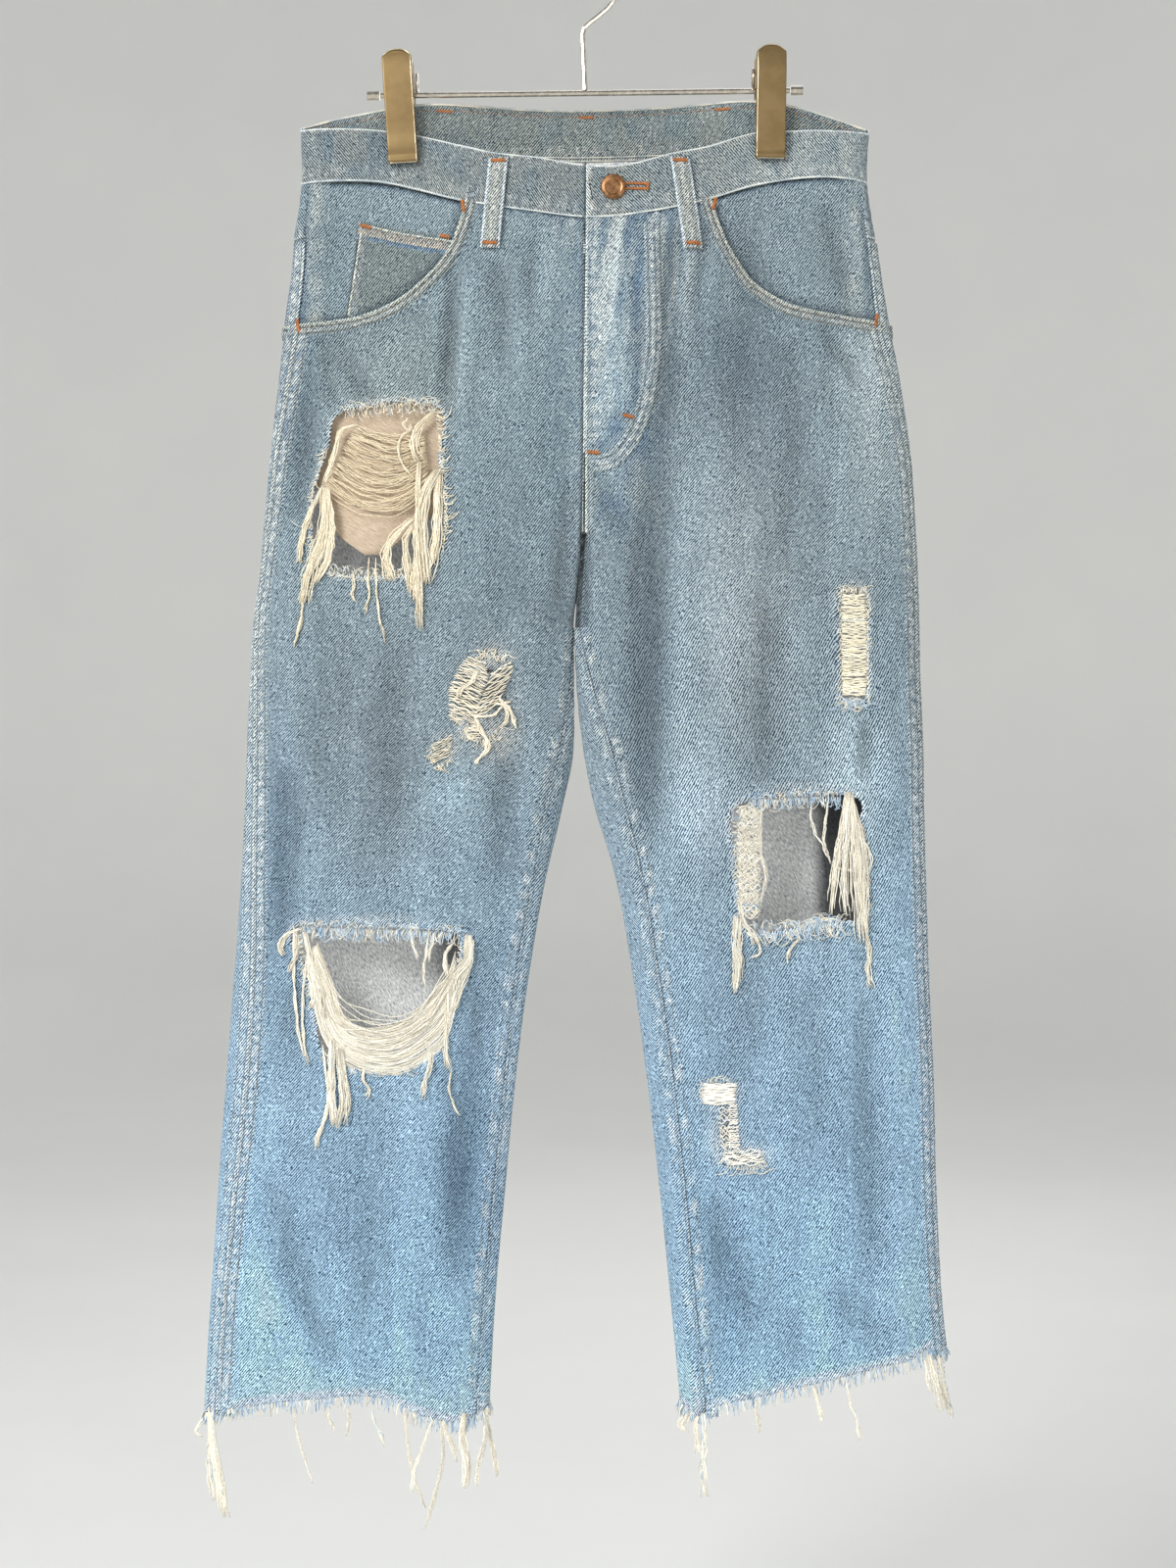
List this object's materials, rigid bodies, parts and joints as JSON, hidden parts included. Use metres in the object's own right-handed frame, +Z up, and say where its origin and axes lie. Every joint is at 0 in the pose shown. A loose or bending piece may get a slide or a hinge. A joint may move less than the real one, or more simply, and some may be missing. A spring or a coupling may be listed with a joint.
{
  "type": "ripped jeans on a clip hanger",
  "caption": "Straight-leg light-wash denim jeans with open rips, frayed threads and raw hems, clipped by the waistband to a wire-hook bar hanger.",
  "frame": {"origin": "the inside top of the hanger's hook, where a rail holds it", "axes": "+Z up, the front of the jeans faces -Y, +X is the wearer's left"},
  "size_m": [0.5496, 0.0646, 1.1595],
  "materials": {
    "denim": "light-wash twill",
    "thread": "frayed cotton weft",
    "pocketing": "plain cotton twill",
    "zip_brass": "dull",
    "copper": "aged copper",
    "nickel": "satin nickel",
    "clip_bronze": "satin bronze"
  },
  "bodies": {
    "root": {"back_panel_left": "denim", "back_panel_right": "denim", "back_pocket_left": "denim", "back_pocket_right": "denim", "bar_end_left": "nickel", "bar_end_right": "nickel", "belt_loop_back_centre": "denim", "belt_loop_back_left": "denim", "belt_loop_back_right": "denim", "belt_loop_front_left": "denim", "belt_loop_front_right": "denim", "button": "copper", "clip_back_left": "clip_bronze", "clip_back_right": "clip_bronze", "clip_front_left": "clip_bronze", "clip_front_right": "clip_bronze", "clip_ring_left": "nickel", "clip_ring_right": "nickel", "coin_pocket": "denim", "fly_facing": "denim", "fly_shield": "denim", "front_panel_left": "denim", "front_panel_right": "denim", "hanger_bar": "nickel", "hanger_hook": "nickel", "hem_fringe_left": "thread", "hem_fringe_right": "thread", "hem_tassel_left_inner": "thread", "hem_tassel_left_middle": "thread", "hem_tassel_left_outer": "thread", "hem_tassel_right_edge": "thread", "hem_tassel_right_inner": "thread", "hem_tassel_right_middle": "thread", "hem_tassel_right_outer": "thread", "knee_swag": "thread", "knee_tassel_inner": "thread", "knee_tassel_outer": "thread", "left_knee_tassel_inner": "thread", "left_knee_tassel_outer": "thread", "left_knee_threads": "thread", "pocket_bag_left": "pocketing", "pocket_bag_right": "pocketing", "pocket_facing_left": "denim", "pocket_facing_right": "denim", "shin_threads": "thread", "thigh_strip_tassel": "thread", "thigh_strip_threads": "thread", "thigh_tassel_inner": "thread", "thigh_tassel_low": "thread", "thigh_tassel_outer": "thread", "thigh_threads": "thread", "waistband": "denim", "worn_patch": "thread", "yoke_left": "denim", "yoke_right": "denim", "zip": "zip_brass"}
  },
  "joints": []
}
